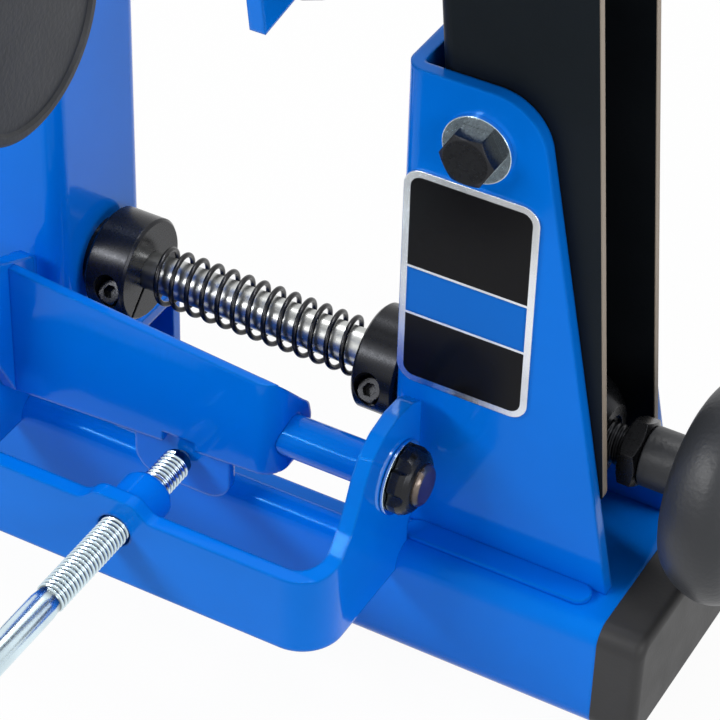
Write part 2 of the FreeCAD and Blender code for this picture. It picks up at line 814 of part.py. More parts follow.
def make_jam_nut(name, start):
    return less(name,
                chamfered(name + "_body", "X", start, "0", "shaft_z", "jam_flats", "jam_width"),
                rod(name + "_hole", "X", "%s - overrun" % start, "0", "shaft_z",
                    "shaft_radius + collar_play", "jam_width + 2 * overrun"))


def knob_rim(back, outward=1):
    """Outline of a round knob from its back, over the full rim, to its hollow face."""
    return [("%s + (%s) * %g" % (back, depth, outward), reach) for depth, reach in (
        ("0", "knob_back_radius * 0.9"),
        ("knob_depth * 0.12", "knob_back_radius"),
        ("knob_depth * 0.38", "knob_radius * 0.94"),
        ("knob_depth * 0.62", "knob_radius"),
        ("knob_depth * 0.84", "knob_radius * 0.95"),
        ("knob_depth * 0.97", "knob_face_radius * 1.15"),
        ("knob_depth", "knob_face_radius"),
        ("knob_depth * 0.94", "knob_face_radius * 0.9"),
        ("knob_depth * 0.94", "0"))]


def make_shaft_knob():
    stop = "shaft_right_end + knob_bore_depth"
    play = "shaft_radius + collar_play"
    return turned(
        "shaft_knob_body", "X",
        [("neck_start", play), ("neck_start", "neck_radius"), ("knob_start", "neck_radius")] +
        knob_rim("knob_start") + [(stop, "0"), (stop, play)], z="shaft_z")


# Front yoke
def make_yoke(base):
    """A strip bent to a U, whose ends rise into ears for the pivot rod."""
    strip = plate(
        "yoke_strip", "XY",
        [("-yoke_half_width", "-yoke_front"), ("yoke_half_width", "-yoke_front"),
         ("yoke_half_width", "-ear_back"), ("yoke_half_width - yoke_wall", "-ear_back"),
         ("yoke_half_width - yoke_wall", "yoke_wall - yoke_front"),
         ("yoke_wall - yoke_half_width", "yoke_wall - yoke_front"),
         ("yoke_wall - yoke_half_width", "-ear_back"), ("-yoke_half_width", "-ear_back")],
        "yoke_low", "ear_top - yoke_low + overrun",
        [((0, 1), "yoke_round"), ((4, 5), "yoke_round - yoke_wall")])
    front = "(yoke_front - yoke_round * 0.4 - ear_back)"
    rise = "(ear_top - yoke_high)"
    crest = [("-ear_back - %s * %s" % (front, u), "yoke_high + %s * %s" % (rise, v)) for u, v in EAR_SHARES]
    side = plate(
        "yoke_side", "YZ",
        [("-ear_foot_back", "yoke_low"), ("-yoke_front - overrun", "yoke_low"),
         ("-yoke_front - overrun", "yoke_high")] + crest +
        [("-ear_back", "ear_foot_high + (ear_foot_back - ear_back)"), ("-ear_foot_back", "ear_foot_high")],
        "-yoke_half_width - overrun", "2 * (yoke_half_width + overrun)",
        [((4, 5, 6, 7, 8, 9, 10, 11), "yoke_round * 0.45"), ((12,), "yoke_wall / 2")])
    bent = doc.addObject("Part::Common", "yoke_bent")
    bent.Base = strip
    bent.Tool = side
    crown = "arm_screw_z + boss_radius"
    boss = plate(
        "boss_front", "XZ",
        [("-boss_shoulder", "arm_screw_z"), ("boss_shoulder", "arm_screw_z"), ("boss_shoulder", "yoke_high"),
         ("boss_radius * 0.92", "yoke_high"), ("boss_radius * 0.52", crown), ("-boss_radius * 0.52", crown),
         ("-boss_radius * 0.92", "yoke_high"), ("-boss_shoulder", "yoke_high")],
        "-yoke_front", "yoke_wall", [((3, 6), "boss_radius * 0.4"), ((4, 5), "boss_radius * 0.45")])
    whole = joined("yoke_whole", bent, boss)
    pin_hole = rod("yoke_pin_hole", "X", "-yoke_half_width - overrun", "-pivot_y", "pivot_z",
                   "rod_radius + bush_play", "2 * (yoke_half_width + overrun)")
    screw_hole = rod("yoke_screw_hole", "Y", "0", "-yoke_front - overrun", "arm_screw_z",
                     "arm_screw_radius + screw_hole_play", "yoke_wall + 2 * overrun")
    return less("yoke_cut", whole, pin_hole, screw_hole, base)


def make_boss():
    """Threaded boss welded behind the yoke's front wall."""
    return turned(
        "boss", "Y",
        [("yoke_wall - yoke_front", "arm_screw_radius + bush_play"),
         ("yoke_wall - yoke_front", "boss_back_radius"),
         ("yoke_wall - yoke_front + boss_back_length * 0.9", "boss_back_radius"),
         ("yoke_wall - yoke_front + boss_back_length", "boss_back_radius * 0.9"),
         ("yoke_wall - yoke_front + boss_back_length", "arm_screw_radius + bush_play")], z="arm_screw_z")


# Caliper arm
def make_arm():
    """Tapered cross plate, bent into a cheek at its right end, with a tab for the screw below."""
    turns = [math.radians(angle) for angle in CHEEK_ANGLES]
    rim = [("-pivot_y + arm_cheek * %.4f" % math.cos(turn), "pivot_z + arm_cheek * %.4f" % math.sin(turn))
           for turn in turns]
    strip = plate(
        "arm_strip", "XY",
        [("-" + ARM_LEFT, "-arm_front"), ("arm_right", "-arm_front"),
         ("arm_right", "2 * arm_cheek - arm_front"), ("arm_right - arm_wall", "2 * arm_cheek - arm_front"),
         ("arm_right - arm_wall", "arm_wall - arm_front"),
         ("-" + ARM_LEFT, "arm_wall - arm_front")],
        "arm_left_low - overrun", "arm_left_high - arm_left_low + 2 * overrun",
        [((1,), "arm_bend"), ((4,), "arm_bend - arm_wall")])
    front = plate(
        "arm_face", "XZ",
        [("-%s - overrun" % ARM_LEFT, "arm_left_low"), ("arm_right + overrun", "arm_right_low"),
         ("arm_right + overrun", "arm_right_high"), ("-%s - overrun" % ARM_LEFT, "arm_left_high")],
        "-arm_front - overrun", "2 * arm_cheek + 2 * overrun")
    side = plate(
        "arm_side", "YZ",
        [("-arm_front - overrun", "arm_left_low - overrun"),
         ("-arm_front - overrun", "arm_left_high + overrun"),
         ("arm_wall - arm_front + hole_play", "arm_left_high + overrun"),
         ("arm_wall - arm_front + hole_play", "arm_right_high")] + rim +
        [("arm_wall - arm_front + hole_play", "arm_right_low"),
         ("arm_wall - arm_front + hole_play", "arm_left_low - overrun")],
        "-%s - overrun" % ARM_LEFT, "%s + arm_right + 2 * overrun" % ARM_LEFT,
        [((4, 5, 6, 7, 8, 9), "arm_cheek / 2")])
    tapered = doc.addObject("Part::Common", "arm_tapered")
    tapered.Base = strip
    tapered.Tool = front
    bent = doc.addObject("Part::Common", "arm_bent")
    bent.Base = tapered
    bent.Tool = side
    tab = plate(
        "arm_tab", "XZ",
        rectangle("-tab_left", "tab_right", "tab_low", "pivot_z"),
        "-tab_front", "arm_wall", [((0, 1), "tab_round")])
    whole = joined("arm_whole", bent, tab)
    bore = rod("arm_bore", "X", "-%s - overrun" % ARM_LEFT, "-pivot_y", "pivot_z", "rod_radius + hole_play",
               "%s + arm_right + 2 * overrun" % ARM_LEFT)
    notch = block("arm_notch", "-screw_notch_half_width", "-arm_front - overrun", "arm_screw_z",
                  "2 * screw_notch_half_width", "arm_front - tab_front + overrun",
                  "screw_notch_high - arm_screw_z")
    return less("arm_cut", whole, bore, notch)


def make_leg():
    """Side plate that rises from the cross plate to the caliper head."""
    outline = [
        ("-leg_back", "arm_left_low"), ("-arm_front", "arm_left_low"),
        ("-arm_front - leg_top_radius * 0.8", "pivot_z + leg_top_radius * 0.6"),
        ("-knob_axis_y - leg_top_radius", "knob_axis_z"),
        ("-knob_axis_y - leg_top_radius * 0.6", "knob_axis_z + leg_top_radius"),
        ("-knob_axis_y + leg_top_radius * 0.6", "knob_axis_z + leg_top_radius"),
        ("-knob_axis_y + leg_top_radius", "knob_axis_z"),
        ("leg_waist - arm_front", "knob_axis_z - leg_top_radius"),
        ("-arm_front - leg_notch", "leg_neck_high"),
        ("-arm_front - leg_notch", "arm_left_high + leg_rise"),
        ("-leg_back", "arm_left_high - leg_rise")]
    body = plate("leg_body", "YZ", outline, "-%s - leg_wall" % ARM_LEFT, "leg_wall",
                 [((0,), "leg_top_radius * 0.45"), ((4, 5), "leg_top_radius / 2"),
                  ((8,), "leg_top_radius * 0.75"), ((9,), "leg_notch * 0.7"), ((10,), "arm_wall")])
    bore = rod("leg_bore", "X", "-%s - leg_wall - overrun" % ARM_LEFT, "-pivot_y", "pivot_z",
               "rod_radius + hole_play", "leg_wall + 2 * overrun")
    hole = rod("leg_stud_hole", "X", "-%s - leg_wall - overrun" % ARM_LEFT, "-knob_axis_y", "knob_axis_z",
               "stud_radius + hole_play", "leg_wall + 2 * overrun")
    return less("leg_cut", body, bore, hole)


def make_pivot_rod():
    """Rod on which the arm swings, held in the yoke's ears."""
    half = "yoke_half_width + rod_overhang"
    return turned(
        "rod", "X",
        [("-(%s)" % half, "0"), (half, "0"), (half, "rod_radius * 0.86"),
         ("%s - rod_radius * 0.14" % half, "rod_radius"),
         ("rod_radius * 0.14 - (%s)" % half, "rod_radius"), ("-(%s)" % half, "rod_radius * 0.86")],
        y="-pivot_y", z="pivot_z")


def make_spacers():
    ring = turned(
        "spacer_ring", "X",
        [("yoke_half_width + spacer_gap", "rod_radius + hole_play"),
         ("yoke_half_width + spacer_gap", "spacer_radius"),
         ("yoke_half_width + spacer_gap + spacer_width", "spacer_radius"),
         ("yoke_half_width + spacer_gap + spacer_width", "rod_radius + hole_play")],
        y="-pivot_y", z="pivot_z")
    return group("spacers", ring, mirrored("spacer_left", ring))


def make_push_nut():
    """Lobed push-on nut that keeps the rod in its ear."""
    start = "yoke_half_width + 2 * spacer_gap + spacer_width"
    ring = turned(
        "push_ring", "X",
        [(start, "rod_radius + hole_play"), (start, "push_nut_radius"),
         ("%s + push_nut_width * 0.45" % start, "push_nut_radius"),
         ("%s + push_nut_width * 0.72" % start, "push_nut_radius * 0.93"),
         ("%s + push_nut_width * 0.9" % start, "push_nut_radius * 0.82"),
         ("%s + push_nut_width" % start, "push_nut_radius * 0.72"),
         ("%s + push_nut_width" % start, "rod_radius + hole_play")],
        y="-pivot_y", z="pivot_z")
    flutes = []
    for i in range(FLUTE_COUNT):
        angle = math.tau * i / FLUTE_COUNT
        flutes.append(rod(
            "push_flute_%d" % i, "X", start + " - overrun",
            "-pivot_y + push_nut_radius * %.4f" % (FLUTE_PLACE_SHARE * math.cos(angle)),
            "pivot_z + push_nut_radius * %.4f" % (FLUTE_PLACE_SHARE * math.sin(angle)),
            "push_nut_radius * 0.3", "push_nut_width + 2 * overrun"))
    lobed = less("push_lobed", ring, *flutes)
    return group("push_rings", lobed, mirrored("push_ring_left", lobed))


# Screw that swings the arm
def make_pad():
    face = "-tab_front - screw_tip_gap"
    return turned(
        "pad", "Y",
        [("%s - pad_length - pad_spigot_length" % face, "0"), (face, "0"), (face, "pad_radius * 0.65"),
         ("%s - pad_length * 0.15" % face, "pad_radius"), ("%s - pad_length" % face, "pad_radius"),
         ("%s - pad_length" % face, "pad_spigot_radius"),
         ("%s - pad_length - pad_spigot_length" % face, "pad_spigot_radius")],
        z="arm_screw_z")


def make_arm_screw():
    tip = "-tab_front - 2 * screw_tip_gap - pad_length"
    bottom = "%s - pad_spigot_length - screw_tip_gap" % tip
    return turned(
        "arm_screw_body", "Y",
        [("-arm_screw_end", "0"), (bottom, "0"), (bottom, "pad_spigot_radius + bush_play"),
         (tip, "pad_spigot_radius + bush_play"), (tip, "arm_screw_radius"),
         ("-arm_screw_thread_end", "arm_screw_radius"),
         ("-arm_screw_thread_end - arm_screw_taper", "arm_screw_shank_radius"),
         ("-arm_screw_end", "arm_screw_shank_radius")], z="arm_screw_z")


def make_arm_screw_knob():
    inner = "-arm_screw_end + knob_bore_depth"
    back = "%s - arm_neck_length" % inner
    play = "arm_screw_shank_radius + collar_play"
    return turned(
        "arm_knob_body", "Y",
        [("-arm_screw_end", "0"), ("-arm_screw_end", play), (inner, play), (inner, "neck_radius"),
         (back, "neck_radius")] + knob_rim(back, -1), z="arm_screw_z")


# Caliper head, made about the clamp knob's axis and then tilted
def tilt_head(thing):
    return tilted(thing, "-knob_axis_y", "knob_axis_z", "head_tilt")


def make_clamp_knob():
    face = "lug_gap * 2 + lug_wall - " + ARM_LEFT
    start = "%s + clamp_neck_length" % face
    profile = [("-%s - leg_wall - lug_wall" % ARM_LEFT, "0"),
               ("-%s - leg_wall - lug_wall" % ARM_LEFT, "stud_radius"),
               (face, "stud_radius"), (face, "clamp_neck_radius"), (start, "clamp_neck_radius"),
               (start, "knob_back_radius"), ("%s + clamp_knob_depth * 0.35" % start, "knob_radius * 0.97"),
               ("%s + clamp_knob_depth * 0.7" % start, "knob_radius"),
               ("%s + clamp_knob_depth * 0.95" % start, "knob_radius * 0.985"),
               ("%s + clamp_knob_depth" % start, "knob_radius * 0.955"),
               ("%s + clamp_knob_depth" % start, "knob_radius * 0.9"),
               ("%s + clamp_knob_depth * 0.93" % start, "knob_radius * 0.88"),
               ("%s + clamp_knob_depth * 0.93" % start, "0")]
    return turned("clamp_knob_body", "X", profile, y="-knob_axis_y", z="knob_axis_z")


def make_clamp_nut():
    start = "-%s - leg_wall - lug_wall - lug_gap" % ARM_LEFT
    return less("clamp_nut_ring",
                chamfered("clamp_nut_body", "X", start, "-knob_axis_y", "knob_axis_z",
                          "head_flats", "lug_wall"),
                rod("clamp_nut_hole", "X", "%s - overrun" % start, "-knob_axis_y", "knob_axis_z",
                    "stud_radius + hole_play", "lug_wall + 2 * overrun"))


def make_head_frame():
    lug = plate(
        "lug_left", "YZ",
        [("-lug_half_width", "-lug_half_width"), ("lug_half_width", "-lug_half_width"),
         ("lug_half_width", "head_rise + lug_top"), ("-bridge_front", "head_rise + lug_top"),
         ("-bridge_front", "head_rise - bridge_low - lug_half_width"),
         ("-lug_half_width", "head_rise - 2 * lug_half_width")],
        "lug_gap - " + ARM_LEFT, "lug_wall", [((0, 1), "lug_half_width * 0.9"), ((2,), "lug_half_width / 2")])
    right = plate(
        "lug_right", "YZ",
        rectangle("-bridge_front", "lug_half_width",
                  "head_rise - bridge_low - lug_half_width", "head_rise + lug_top"),
        "head_right - lug_wall", "lug_wall", [((1, 2), "lug_half_width / 2")])
    bridge = block("head_bridge", "lug_gap - " + ARM_LEFT, "-bridge_front", "head_rise - bridge_low",
                   ARM_LEFT + " + head_right - lug_gap", "bridge_wall", "bridge_low + bridge_high")
    whole = joined("head_whole", lug, right, bridge)
    holes = [
        rod("head_stud_hole", "X", "-%s - overrun" % ARM_LEFT, "0", "0",
            "stud_radius + bush_play", "lug_wall + 3 * overrun"),
        rod("head_lead_hole", "X", "-%s - overrun" % ARM_LEFT, "0", "head_rise", "lead_radius + bush_play",
            ARM_LEFT + " + head_right + 2 * overrun"),
        rod("head_rail_hole", "X", "-%s - overrun" % ARM_LEFT, "0", "head_rise + rail_rise",
            "rail_radius + hole_play", ARM_LEFT + " + head_right + 2 * overrun")]
    return tilt_head(less("head_cut", whole, *holes))


def make_rail():
    bar = rod("rail_rod", "X", "lug_gap - " + ARM_LEFT, "0", "head_rise + rail_rise", "rail_radius",
              ARM_LEFT + " + head_right - lug_gap")
    return tilt_head(group("rail", bar))


def make_lead_screw():
    screw = rod("lead_rod", "X", "lug_gap - lug_wall / 2 - " + ARM_LEFT, "0", "head_rise", "lead_radius",
                ARM_LEFT + " + head_right + lug_wall / 2 + small_knob_gap - lug_gap")
    start = "head_right + small_knob_gap"
    knob = turned(
        "small_knob_body", "X",
        [(start, "0")] +
        [("%s + small_knob_depth * %s" % (start, u), "small_knob_radius * %s" % v)
         for u, v in SMALL_KNOB_SHARES] +
        [("%s + small_knob_depth" % start, "0")], z="head_rise")
    return screw, knob


def make_slider():
    body = block("slider_block", "slider_inner", "-slider_half_depth", "head_rise - slider_low",
                 "slider_width", "2 * slider_half_depth", "slider_low + slider_high")
    lead = rod("slider_lead_hole", "X", "slider_inner - overrun", "0", "head_rise",
               "lead_radius + bush_play", "slider_width + 2 * overrun")
    rail = rod("slider_rail_hole", "X", "slider_inner - overrun", "0", "head_rise + rail_rise",
               "rail_radius + bush_play", "slider_width + 2 * overrun")
    finger = plate(
        "finger_blade", "YZ",
        [("-finger_width / 2", "head_rise + slider_high - overrun"),
         ("finger_width / 2", "head_rise + slider_high - overrun"),
         ("finger_width / 2 + finger_bend / 3", "head_rise + finger_reach * 0.7"),
         ("finger_width / 2 + finger_bend", "head_rise + finger_reach"),
         ("finger_bend", "head_rise + finger_reach"),
         ("finger_bend / 4 - finger_width / 2", "head_rise + finger_reach * 0.72")],
        "finger_inner", "finger_wall", [((2, 5), "finger_width"), ((3, 4), "finger_width / 5")])
    tip = rod("finger_tip", "X", "finger_inner - tip_length", "finger_bend + finger_width / 4",
              "head_rise + finger_reach - 2 * tip_radius", "tip_radius", "tip_length + finger_wall / 2")
    return less("slider_cut", joined("slider_whole", body, finger, tip), lead, rail)


base = piece("base_beam", make_base())
pair("end_cap", make_cap())
pair("bracket", make_bracket())
piece("weld_beads", make_beads())
piece("name_plate", make_name_plate())
make_pivots()
pair("upright", make_upright())
pair("dropout", make_dropout())
pair("dropout_screw", make_dropout_screw())
piece("cross_shaft", make_shaft())
pair("collar", make_collar())
screw = make_collar_screw()
piece("collar_screws", group("collar_screw_pair", screw, mirrored("collar_screw_left", screw)))
pair("shaft_bush", make_bush())
piece("shaft_spring", make_spring())
ball_nut = piece("ball_nut_right", make_ball_nut())
piece("ball_nut_left", opposite("ball_nut_opposite", ball_nut))
piece("jam_nut", make_jam_nut("jam_nut_right", "jam_start"))
piece("shaft_knob", make_shaft_knob())
piece("front_yoke", make_yoke(base))
piece("screw_boss", make_boss())
piece("caliper_arm", make_arm())
piece("arm_leg", make_leg())
piece("pivot_rod", make_pivot_rod())
piece("pivot_spacers", make_spacers())
piece("push_nuts", make_push_nut())
piece("screw_pad", make_pad())
piece("arm_screw", make_arm_screw())
piece("arm_screw_knob", make_arm_screw_knob())
piece("clamp_knob", make_clamp_knob())
piece("clamp_nut", make_clamp_nut())
piece("head_frame", make_head_frame())
piece("guide_rail", make_rail())
lead, knob = make_lead_screw()
piece("lead_screw", tilt_head(group("lead_whole", lead)))
piece("lead_knob", tilt_head(group("lead_knob_whole", knob)))
slider = make_slider()
piece("caliper_right", tilt_head(slider))
piece("caliper_left", mirrored("slider_left", slider))

doc.recompute()

for thing in doc.Objects:
    if "Invalid" in thing.State or "Error" in thing.State:
        raise RuntimeError("%s failed: %s" % (thing.Name, thing.State))

os.makedirs("parts", exist_ok=True)
for node, thing in finished.items():
    shape = thing.Shape
    if shape.isNull() or not shape.isValid() or shape.Volume <= 0:
        raise RuntimeError("%s has no valid shape" % node)
    shape.exportStep("parts/%s.step" % node)
print("%d nodes written" % len(finished))
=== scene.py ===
"""Looks of a bicycle wheel truing stand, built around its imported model."""

import json
import math

import bmesh
import bpy
from bpy.props import FloatProperty, FloatVectorProperty, IntProperty, PointerProperty
from mathutils import Matrix, Vector


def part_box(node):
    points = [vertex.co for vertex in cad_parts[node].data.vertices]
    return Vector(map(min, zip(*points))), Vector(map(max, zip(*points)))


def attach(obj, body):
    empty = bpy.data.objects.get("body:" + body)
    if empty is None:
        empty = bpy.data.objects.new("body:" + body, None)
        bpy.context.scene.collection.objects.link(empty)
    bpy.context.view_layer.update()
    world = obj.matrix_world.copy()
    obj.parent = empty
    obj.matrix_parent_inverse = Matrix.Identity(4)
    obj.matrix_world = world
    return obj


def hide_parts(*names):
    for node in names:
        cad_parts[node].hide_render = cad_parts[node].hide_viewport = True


bl_info = {
    "name": "Truing Stand",
    "version": (1, 0, 0),
    "blender": (4, 5, 0),
    "location": "View3D > Sidebar > Truing Stand",
    "description": "Finishes, knobs, threads and name plate of a wheel truing stand",
    "category": "Object",
}

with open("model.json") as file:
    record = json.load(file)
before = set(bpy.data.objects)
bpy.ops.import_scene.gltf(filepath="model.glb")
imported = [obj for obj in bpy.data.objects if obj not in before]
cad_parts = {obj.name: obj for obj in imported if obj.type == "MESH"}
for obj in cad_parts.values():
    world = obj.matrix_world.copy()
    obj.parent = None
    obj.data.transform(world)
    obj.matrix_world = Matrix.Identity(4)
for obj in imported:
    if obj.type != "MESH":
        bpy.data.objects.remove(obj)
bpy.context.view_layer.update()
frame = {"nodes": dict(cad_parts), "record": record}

MM = 0.001
PHOTO_SIZE = 720
SENSOR = 36.0

# Merging and rounding of new meshes
MERGE = 1e-7
RING_PLAY = 1e-6
ROUND_SEGMENTS = 6
SMOOTH_ANGLE = math.radians(32)

# Softness of edges in the finishes
PAINT_EDGE = 1.3 * MM
METAL_EDGE = 0.4 * MM
EDGE_SAMPLES = 6

# Distances from the middle at which a finish changes
ROD_PAINT_END = 66 * MM
SHAFT_BRIGHT_END = 58 * MM

# The uprights' pivot, their lean, and how far from the pivot their coat reaches
PIVOT = Vector((79.4 * MM, 0, 177.8 * MM))
LEAN = math.radians(5)
COAT_REACH = 33.25 * MM

# Threads: shares of the pitch across a ridge, and shares of its height for the painted shade that darkens
# the groove
RIDGE_SHARES = (-0.46, -0.06, 0.06, 0.46)
RIDGE_SINK = 0.1 * MM
GROOVE_SHADE_REACH_SHARE = 0.62
GROOVE_SHADE_TONE_SHARE = 0.22
ROUND_STEPS = 48

# Arm screw
SHANK_SHARE = 0.965
SHANK_TAPER = 3 * MM
SHANK_END_ROUND = 0.6 * MM
SHANK_SHOULDER_ROUND = 0.8 * MM
SCREW_TIP_ROUND = 0.4 * MM
SCREW_RUNOUT = 0.4 * MM
SCREW_TURNS_LEFT = 1.2

# Cross shaft
SHAFT_END_ROUND = 0.5 * MM
SHAFT_TAPER = 1 * MM
SHAFT_RUNOUT = 1.2 * MM
SHAFT_TURNS_LEFT = 2

# A round knob's outline: shares of its depth and of its radius, from the back to the face
KNOB_SHARES = ((0, 0.70), (0.09, 0.83), (0.30, 0.945), (0.58, 1), (0.82, 0.955), (0.95, 0.85), (1, 0.70),
               (0.975, 0.45), (0.96, 0))
KNOB_CUTS = 7
NECK_ROUND = 0.5 * MM

# Stage: each lamp's setting, place and the width and depth of its panel, in metres
LAMPS = (
    ("key", (-0.75, -0.75, 0.85), 0.9, 0.16),
    ("fill", (1.1, -0.45, 0.55), 0.8, 0.5),
    ("top", (0.15, 0.35, 1.25), 1.1, 0.16),
)
LAMP_AIM = Vector((0, 0, 0.1))
FLOOR_HALF = 6
FLOOR_TONE = (0.8, 0.8, 0.8, 1)
FLOOR_GLOW_SHARE = 0.96
WHITE = (1, 1, 1, 1)
NEAR_CLIP = 0.05
FAR_CLIP = 50

# The camera of the photograph, metres and degrees
CAMERA_PLACE = (0.35949, -0.60821, 0.63573)
CAMERA_AZIMUTH = 28.17
CAMERA_ELEVATION = 39.32
CAMERA_ROLL = 1.74
FOCAL_PIXELS = 3014.12

AXES = {"X": Vector((1, 0, 0)), "Y": Vector((0, 1, 0)), "Z": Vector((0, 0, 1))}


def colour(name, what, value):
    return FloatVectorProperty(
        name=name, description=what, subtype="COLOR", size=3, min=0, max=1, default=value)


def length(name, what, millimetres):
    return FloatProperty(
        name=name, description=what, subtype="DISTANCE", unit="LENGTH", default=millimetres * MM)


def power(name, what, watts):
    return FloatProperty(name=name, description=what, subtype="POWER", default=watts)


def share(name, what, value):
    return FloatProperty(name=name, description=what, subtype="FACTOR", min=0, max=1, default=value)


class StandColours(bpy.types.PropertyGroup):
    blue: colour("Blue paint", "Glossy paint of the base, brackets and arm", (0.0003, 0.17, 0.74))
    black: colour("Powder coat", "Fine-grained coat of the uprights", (0.005, 0.006, 0.0075))
    oxide: colour("Black oxide", "Collars, bolts and nuts", (0.022, 0.023, 0.026))
    steel: colour("Machined steel", "Shaft, rail and pins", (0.50, 0.51, 0.50))
    zinc: colour("Zinc plate", "Arm screw and washers", (0.68, 0.82, 0.88))
    wire: colour("Spring wire", "Oiled spring steel", (0.035, 0.035, 0.037))
    plastic: colour("Knob plastic", "Moulded knobs", (0.022, 0.024, 0.028))
    caps: colour("Cap plastic", "End caps of the base", (0.026, 0.026, 0.027))
    silver: colour("Plate silver", "Border of the name plate", (0.80, 0.82, 0.84))
    printed: colour("Printed black", "Dark panels of the name plate", (0.004, 0.004, 0.005))
    bare_edge: colour("Bare edge", "Cut edges of the coated uprights", (0.30, 0.25, 0.20))
    bronze: colour("Bare rod end", "Worn end of the arm's pivot pin", (0.15, 0.12, 0.10))


class ThreadSizes(bpy.types.PropertyGroup):
    pitch: length("Pitch", "Distance from one thread to the next", 1.5875)
    depth: length("Depth", "Height of the thread above its root", 0.62)
    steps: IntProperty(
        name="Steps", description="Facets in one turn of the thread", default=24, min=8, max=64)
    shoulder: length("Plain shank", "Length of the smooth shank behind the thread", 62)
    shaft_start: length("Shaft thread start", "Distance from the middle to the shaft's threads", 68)
    shaft_stop: length("Shaft thread end", "Distance from the middle to the right thread's end", 130)


class KnobSizes(bpy.types.PropertyGroup):
    steps: IntProperty(name="Facets", description="Facets round a knob", default=96, min=24, max=256)
    shaft_neck: length("Shaft knob neck", "Length of the shaft knob's neck", 13.8)
    screw_neck: length("Screw knob neck", "Length of the arm screw knob's neck", 5.2)
    neck_radius: length("Neck radius", "Radius of both knobs' necks", 9)


class PlateSizes(bpy.types.PropertyGroup):
    border: length("Border", "Width of the plate's silver border", 2.1)
    corner: length("Corner", "Rounding of the printed panels' corners", 3.4)
    stripe_low: share("Stripe foot", "Share of the height below the stripe", 0.335)
    stripe_high: share("Stripe head", "Share of the height up to the stripe's top", 0.545)
    line: length("Line", "Width of the silver lines beside the stripe", 0.9)
    proud: length("Print", "Height of the printed panels above the foil", 0.08)


class StageSettings(bpy.types.PropertyGroup):
    key: power("Key lamp", "Power of the long lamp on the left", 10.5)
    fill: power("Fill lamp", "Power of the lamp on the right", 5.5)
    top: power("Top lamp", "Power of the long lamp above", 9.5)
    ambient: FloatProperty(
        name="Ambient", description="Strength of the light from all round", default=0.24, min=0)


# Meshes

def new_piece(name, bm, body, material):
    """Finish a mesh as a piece that rides on a body."""
    bmesh.ops.remove_doubles(bm, verts=bm.verts, dist=MERGE)
    bmesh.ops.recalc_face_normals(bm, faces=bm.faces)
    mesh = bpy.data.meshes.new(name)
    bm.to_mesh(mesh)
    bm.free()
    for polygon in mesh.polygons:
        polygon.use_smooth = True
    mesh.set_sharp_from_angle(angle=SMOOTH_ANGLE)
    mesh.materials.append(material)
    piece = bpy.data.objects.new(name, mesh)
    bpy.context.collection.objects.link(piece)
    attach(piece, body)
    return piece


def lathe(bm, profile, centre, axis, steps):
    """Spin (place, radius, rounding) stations round an axis, and round the rings that ask for it."""
    along = AXES[axis]
    out = AXES["Z"]
    verts = [bm.verts.new(centre + along * place + out * radius) for place, radius, _ in profile]
    edges = [bm.edges.new(two) for two in zip(verts, verts[1:])]
    bmesh.ops.spin(
        bm, geom=verts + edges, cent=centre, axis=along, angle=math.tau, steps=steps, use_merge=True)
    bmesh.ops.remove_doubles(bm, verts=bm.verts, dist=MERGE)
    for place, radius, rounding in profile:
        if not rounding:
            continue
        rings = []
        for edge in bm.edges:
            inside = True
            for vert in edge.verts:
                arm = vert.co - centre
                depth = arm.dot(along)
                if abs(depth - place) > RING_PLAY or abs((arm - along * depth).length - radius) > RING_PLAY:
                    inside = False
            if inside:
                rings.append(edge)
        soften(bm, rings, rounding)


def soften(bm, edges, width):
    bmesh.ops.bevel(
        bm, geom=edges, offset=width, segments=ROUND_SEGMENTS, profile=0.5, affect="EDGES", material=-1)


def thread(bm, spot, axis, root, crest, turns, sizes, hand=1):
    """Wind a thread's ridge round an axis, from the spot along it."""
    along = AXES[axis]
    foot = root - RIDGE_SINK
    verts = [bm.verts.new(spot + along * across * sizes.pitch + AXES["Z"] * radius)
             for across, radius in zip(RIDGE_SHARES, (foot, crest, crest, foot))]
    face = bm.faces.new(verts)
    bmesh.ops.spin(bm, geom=[face], cent=spot, axis=along, dvec=along * sizes.pitch / sizes.steps,
                   angle=math.tau * turns * hand, steps=turns * sizes.steps)


def smooth_line(points, cuts):
    """Points of a soft curve through the given ones."""
    last = len(points) - 1
    line = []
    for i in range(last):
        a, b, c, d = (Vector(points[min(last, max(0, j))]) for j in range(i - 1, i + 3))
        for step in range(cuts):
            t = step / cuts
            line.append((2 * b + (c - a) * t + (2 * a - 5 * b + 4 * c - d) * t * t
                         + (3 * b - a - 3 * c + d) * t ** 3) / 2)
    line.append(Vector(points[last]))
    return line


def middle(node):
    """Centre, lowest and highest corner of a node's box."""
    low, high = (Vector(corner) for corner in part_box(node))
    return (low + high) / 2, low, high


# Finishes

def node_tree(name):
    material = bpy.data.materials.new(name)
    material.use_nodes = True
    nodes = material.node_tree.nodes
    links = material.node_tree.links
    shader = nodes["Principled BSDF"]
    place = nodes.new("ShaderNodeTexCoord")
    return material, nodes, links, shader, place.outputs["Object"]


def noise(nodes, links, place, scale, detail=3.0, stretch=None):
    if stretch:
        mapping = nodes.new("ShaderNodeMapping")
        mapping.inputs["Scale"].default_value = stretch
        links.new(place, mapping.inputs["Vector"])
        place = mapping.outputs["Vector"]
    grain = nodes.new("ShaderNodeTexNoise")
    grain.inputs["Scale"].default_value = scale
    grain.inputs["Detail"].default_value = detail
    links.new(place, grain.inputs["Vector"])
    return grain.outputs["Fac"]


def ramp(nodes, links, source, stops):
    band = nodes.new("ShaderNodeValToRGB")
    elements = band.color_ramp.elements
    while len(elements) < len(stops):
        elements.new(0.5)
    for element, (place, value) in zip(elements, stops):
        element.position = place
        element.color = (*value, 1)
    links.new(source, band.inputs["Fac"])
    return band.outputs["Color"]


def shade(value, factor):
    return tuple(min(1, part * factor) for part in value)


